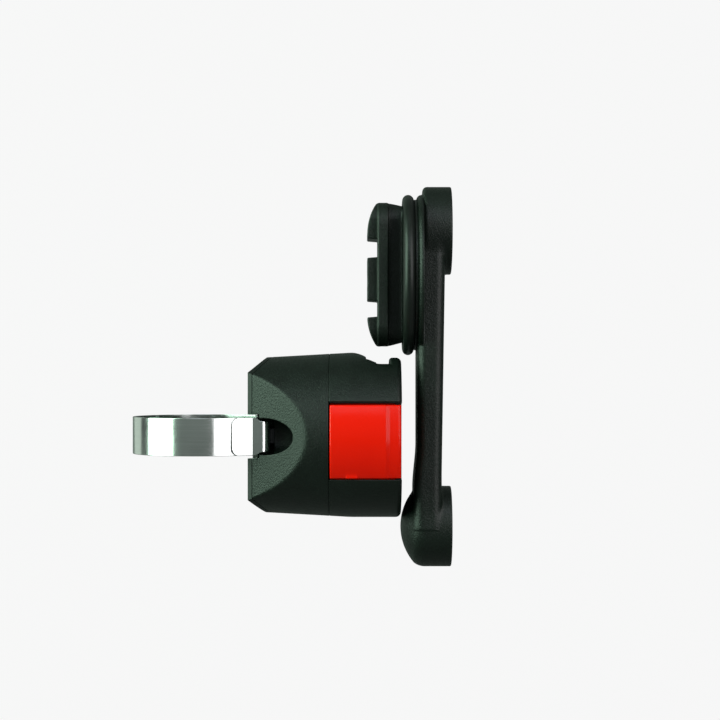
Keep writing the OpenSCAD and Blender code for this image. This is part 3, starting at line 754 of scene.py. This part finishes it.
# Button spring and latch leaf.
# Both are spring steel. The leaf is screwed down at one end, and its nose reaches into the
# slot, where it is meant to hold the hook plate by its lower notch.
WIRE_R = 0.225
COIL_R = 1.875
COIL_TURNS = 5
COIL_PLAY = 0.05


def make_spring(finish):
    """The coil at its rest length, between its seat and the button's skin. The real coil is squeezed as
    the button goes in; this one stays at rest with the bracket.
    """
    room = COIL_SEAT_Y - BUTTON_SKIN_Y
    rise = room - 2 * (WIRE_R + COIL_PLAY)
    steps, sides = COIL_TURNS * 40, 12
    points = []
    for i in range(steps + 1):
        turn = 2 * math.pi * COIL_TURNS * i / steps
        height = COIL_SEAT_Y - COIL_PLAY - WIRE_R - rise * i / steps
        for j in range(sides):
            around = 2 * math.pi * j / sides
            away = COIL_R + WIRE_R * math.cos(around)
            points.append((
                (SPRING_X + away * math.cos(turn)) * MM,
                (height + WIRE_R * math.sin(around)) * MM,
                (SPRING_Z + away * math.sin(turn)) * MM,
            ))
    faces = [tuple(range(sides))[::-1], tuple(range(steps * sides, (steps + 1) * sides))]
    for i in range(steps):
        for j in range(sides):
            k, near, far = (j + 1) % sides, i * sides, (i + 1) * sides
            faces.append((near + j, near + k, far + k, far + j))
    piece = make_piece("button_coil", points, faces)
    dress(piece, finish, "bracket", "button_spring")
    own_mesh(piece)


def make_leaf(finish):
    """The leaf in its rest shape, copied from the CAD part and left unmoved. Its tip is meant to go in
    with the button, in place of tilting back.
    """
    piece = bpy.data.objects.new("latch_blade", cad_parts["latch_leaf"].data.copy())
    bpy.context.collection.objects.link(piece)
    paint(piece, finish)
    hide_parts("latch_leaf")
    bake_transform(piece)


spring_steel = plated_steel("spring_steel", (0.50, 0.51, 0.53), 0.28)
make_spring(spring_steel)
make_leaf(spring_steel)
paint(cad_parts["latch_screw"], screw_zinc)


# Hook plate.
# A nylon moulding whose flange slides behind the housing's lip. Three teeth face the tube,
# and the latch nose drops into the lower notch. Two screws hold it to the cage arm.
LIFT = 34.6
PLATE_H = 30.9
FLANGE_X = 38.2
FLANGE_BACK_X = 40.5
TOOTH_X = FLANGE_X - 2.25
HUB_X = FRONT_X + 0.3
ARM_X = 46.6
HUB_R = 14.6
TOOTH_ROUND_Z = 8.5
TOOTH_ROUND_R = 12.8
NECK_DROP = 0.8
NOTCHES = ((5.55, 3.8), (-7.45, 3.3))
TEETH_W = 12.0
FLANGE_W = 16.0
NECK_W = 11.4
PLATE_SCREW_Y = 3.0
PLATE_SCREW_Z = -1.1
PLATE_BORE_R = 1.55
PLATE_HEAD_R = 2.8


def make_hook_plate():
    grid = Grid((TOOTH_X - 0.4, -15.2, LIFT - 16), (ARM_X + 0.4, 15.2, LIFT + 16), 0.12)
    up = grid.z - LIFT
    over = np.maximum(np.abs(up) - TOOTH_ROUND_Z, 0)
    front = Form(np.where(
        over > 0,
        np.hypot(grid.x - TOOTH_X - TOOTH_ROUND_R, over) - TOOTH_ROUND_R,
        TOOTH_X - grid.x,
    ))
    teeth = grid.pad(grid.y, up, TEETH_W, PLATE_H, 4).within(front, 0.3)
    teeth = teeth.within(grid.below(grid.x, FLANGE_X + 0.5))
    for middle, tall in NOTCHES:
        draft = 0.08 * (FLANGE_X - grid.x)
        notch = Form(np.maximum(np.abs(up - middle) - tall / 2 - draft, grid.x - FLANGE_X))
        teeth = teeth.without(notch, 0.2)
    flange = grid.pad(grid.y, up, FLANGE_W, PLATE_H, 5).within(
        grid.slab(grid.x, FLANGE_X, FLANGE_BACK_X), 0.3)
    drop = NECK_DROP / (HUB_X - FLANGE_BACK_X) * (grid.x - FLANGE_BACK_X)
    neck = grid.pad(grid.y, up, NECK_W, PLATE_H, 4).within(
        Form(np.abs(up) - PLATE_H / 2 + drop), 0.2)
    neck = neck.within(grid.slab(grid.x, FLANGE_BACK_X - 0.2, HUB_X + 0.1))
    hub = grid.bar_x(0, LIFT, HUB_R, HUB_X, ARM_X - 0.05, 0.2)
    form = flange.joined(teeth, 0.15).joined(neck, 0.15).joined(hub, 0.25)
    for side in (-PLATE_SCREW_Y, PLATE_SCREW_Y):
        reach = np.hypot(grid.y - side, up - PLATE_SCREW_Z)
        sink = Form(reach - PLATE_HEAD_R).within(grid.below(grid.x, TOOTH_X + 0.4))
        cone = Form((reach - PLATE_HEAD_R + (grid.x - TOOTH_X - 0.4) * 0.735) * 0.8)
        cone = cone.within(grid.slab(grid.x, TOOTH_X + 0.3, TOOTH_X + 2.1))
        bore = grid.bar_x(side, LIFT + PLATE_SCREW_Z, PLATE_BORE_R, 0, ARM_X + 1)
        form = form.without(sink, 0.12).without(cone).without(bore)
    piece = grid.mesh("hook_plate_moulding", form)
    dress(piece, black_nylon("plate_nylon", 1.1), "adapter", "hook_plate")


make_hook_plate()
for node in ("plate_screw_near", "plate_screw_far"):
    paint(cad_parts[node], screw_zinc)


# Damper ring.
# A black rubber ring with a round rim on the hook plate's hub. It takes up the play between
# the adapter and the bracket's front face.
RING_R = 17.35
RING_T = 2.45


def lathe(name, profile, middle, steps=180):
    """A closed profile of (x, radius) points in millimetres, turned about a line along X."""
    turns = np.linspace(0, 2 * math.pi, steps, endpoint=False)
    rows = [profile(turn) for turn in turns]
    points = [
        (x * MM, (middle[0] + r * math.cos(turn)) * MM, (middle[1] + r * math.sin(turn)) * MM)
        for turn, row in zip(turns, rows) for x, r in row
    ]
    n = len(rows[0])
    faces = [
        (i * n + k, i * n + (k + 1) % n, (i + 1) % steps * n + (k + 1) % n, (i + 1) % steps * n + k)
        for i in range(steps) for k in range(n)
    ]
    return make_piece(name, points, faces)


def make_ring():
    rim, start = RING_T / 2, HUB_X + 0.05
    profile = [(start + RING_T, HUB_R + 0.05)]
    for i in range(21):
        turn = math.pi * i / 20
        profile.append((start + rim + rim * math.cos(turn), RING_R - rim + rim * math.sin(turn)))
    profile.append((start, HUB_R + 0.05))
    piece = lathe("ring_rubber_rim", lambda turn: profile, (0, LIFT))
    dress(piece, black_rubber("ring_rubber_black", 0.36), "adapter", "damper_ring")


make_ring()


# Cage arm.
# A long nylon moulding that carries the cage on two bosses. A disc at the top backs the ring,
# and a dome behind the lower boss gives room for the end of the bolt.
ARM_T = 5.95
ARM_FOOT_T = 5.25
ARM_HALF_W = 8.7
ARM_ROUND = 1.8
DISC_T = 1.3
DISC_ROUND = 1.1
SHOULDER_R = 16.3
BOSS_X = ARM_X + 7.5
BOLT_SPACING = 64.0
UPPER_Z = LIFT + 9.6
LOWER_Z = UPPER_Z - BOLT_SPACING
UPPER_BOSS_R = 9.5
DOME_R = 12.2
DOME_X = HUB_X - 0.35
FLARE_T = 0.7
INSERT_R = 3.5
INSERT_LEN = 6.4
BOLT_END_R = 2.5
HUB_SPIGOT_ROOM_R = 5.1


def ease(value, low, high):
    """0 below the low mark, 1 above the high mark, and a soft rise between."""
    part = np.clip((value - low) / (high - low), 0, 1)
    return part * part * (3 - 2 * part)


def make_arm():
    grid = Grid((DOME_X - 0.4, -17.8, LOWER_Z - 9.2), (BOSS_X + 0.4, 17.8, UPPER_Z + 10), 0.15)
    up = np.clip((grid.z - LOWER_Z - 12) / (BOLT_SPACING - 20), 0, 1)
    right = ARM_X + ARM_FOOT_T + (ARM_T - ARM_FOOT_T) * up
    left = ARM_X - FLARE_T * (1 - ease(grid.z, LOWER_Z + 8, LOWER_Z + 18))
    du = np.abs(grid.x - (left + right) / 2) - (right - left) / 2 + ARM_ROUND
    dv = np.abs(grid.y) - ARM_HALF_W + ARM_ROUND
    corner = np.hypot(np.maximum(du, 0), np.maximum(dv, 0))
    bar = Form(corner + np.minimum(np.maximum(du, dv), 0) - ARM_ROUND)
    bar = bar.within(grid.slab(grid.z, LOWER_Z, UPPER_Z))
    disc = Form(np.hypot(grid.y, grid.z - LIFT) - RING_R).within(grid.above(grid.x, ARM_X), DISC_ROUND)
    disc = disc.within(grid.below(grid.x, ARM_X + DISC_T), 0.1)
    shoulder = grid.bar_x(0, LIFT, SHOULDER_R, HUB_X + RING_T + 0.08, ARM_X + 0.5)
    shoulder = shoulder.without(grid.bar_x(0, LIFT, HUB_R + 0.05, 0, ARM_X))
    upper = Form(np.hypot(grid.y, grid.z - UPPER_Z) - UPPER_BOSS_R)
    upper = upper.within(grid.above(grid.x, ARM_X + DISC_T), 1.0).within(grid.below(grid.x, BOSS_X), 0.3)
    lower = Form(np.hypot(grid.y, grid.z - LOWER_Z) - ARM_HALF_W)
    ball = Form(np.sqrt((grid.x - DOME_X - DOME_R) ** 2 + grid.y**2 + (grid.z - LOWER_Z) ** 2) - DOME_R)
    lower = lower.within(ball, 1.0).within(grid.below(grid.x, BOSS_X), 0.3)
    form = bar.joined(lower, 0.5).joined(upper, 0.6).joined(disc, 0.25).joined(shoulder, 0.1)
    for z in (UPPER_Z, LOWER_Z):
        form = form.without(grid.bar_x(0, z, INSERT_R + 0.05, BOSS_X - INSERT_LEN, BOSS_X + 2), 0.1)
        form = form.without(grid.bar_x(0, z, BOLT_END_R, BOSS_X - INSERT_LEN - 1, BOSS_X))
    form = form.without(grid.bar_x(0, LIFT, HUB_SPIGOT_ROOM_R, 0, ARM_X + 1.1))
    for side in (-PLATE_SCREW_Y, PLATE_SCREW_Y):
        form = form.without(grid.bar_x(side, LIFT + PLATE_SCREW_Z, PLATE_BORE_R, 0, TOOTH_X + 15))
    piece = grid.mesh("cage_arm_moulding", form)
    dress(piece, black_nylon("arm_nylon", 0.9), "adapter", "cage_arm")


make_arm()


# Threaded inserts.
# Two brass inserts with an M5 thread, pressed into the bosses. The cage's bolts go in here.
THREAD_PITCH = 0.8
THREAD_MINOR_R = 2.1
THREAD_DEPTH = 0.33


def turned_brass():
    """Turned brass, with the faint unevenness of a worn cutter."""
    finish = Finish("insert_brass", {"Metallic": 1.0})
    place = finish.node("TexCoord", output=3)
    turned = finish.node("TexNoise", {"Vector": place, "Scale": 1800.0, "Detail": 2.0})
    tone = finish.node(
        "ValToRGB", {"Fac": turned}, stops=[(0.3, (0.50, 0.32, 0.11)), (0.7, (0.70, 0.49, 0.20))]
    )
    bump = finish.node("Bump", {"Height": turned, "Strength": 0.15, "Distance": 0.00002})
    finish.shade(Base_Color=tone, Roughness=turned * 0.15 + 0.20, Normal=bump)
    return finish


def insert_profile(turn):
    """Section of an insert at one turn round its axis; the thread moves on with the turn."""
    start, end = BOSS_X - INSERT_LEN + 0.05, BOSS_X
    land = INSERT_LEN * 0.38
    outer = [
        (start, INSERT_R - 0.2), (start + 0.2, INSERT_R), (start + land, INSERT_R),
        (start + land + 0.15, INSERT_R - 0.35), (end - land - 0.15, INSERT_R - 0.35),
        (end - land, INSERT_R), (end - 0.15, INSERT_R), (end, INSERT_R - 0.15),
    ]
    inner = [(end, THREAD_MINOR_R + 0.45), (end - 0.3, THREAD_MINOR_R + 0.15)]
    for x in np.arange(end - 0.4, start + 0.2, -0.1):
        phase = (x / THREAD_PITCH + turn / (2 * math.pi)) % 1
        inner.append((x, THREAD_MINOR_R + THREAD_DEPTH * (1 - abs(2 * phase - 1))))
    inner.append((start, THREAD_MINOR_R + 0.2))
    return (outer + inner)[::-1]


brass = turned_brass()
for node, z in (("insert_upper", UPPER_Z), ("insert_lower", LOWER_Z)):
    piece = lathe(node + "_threaded", insert_profile, (0, z), 72)
    dress(piece, brass, "adapter", node)
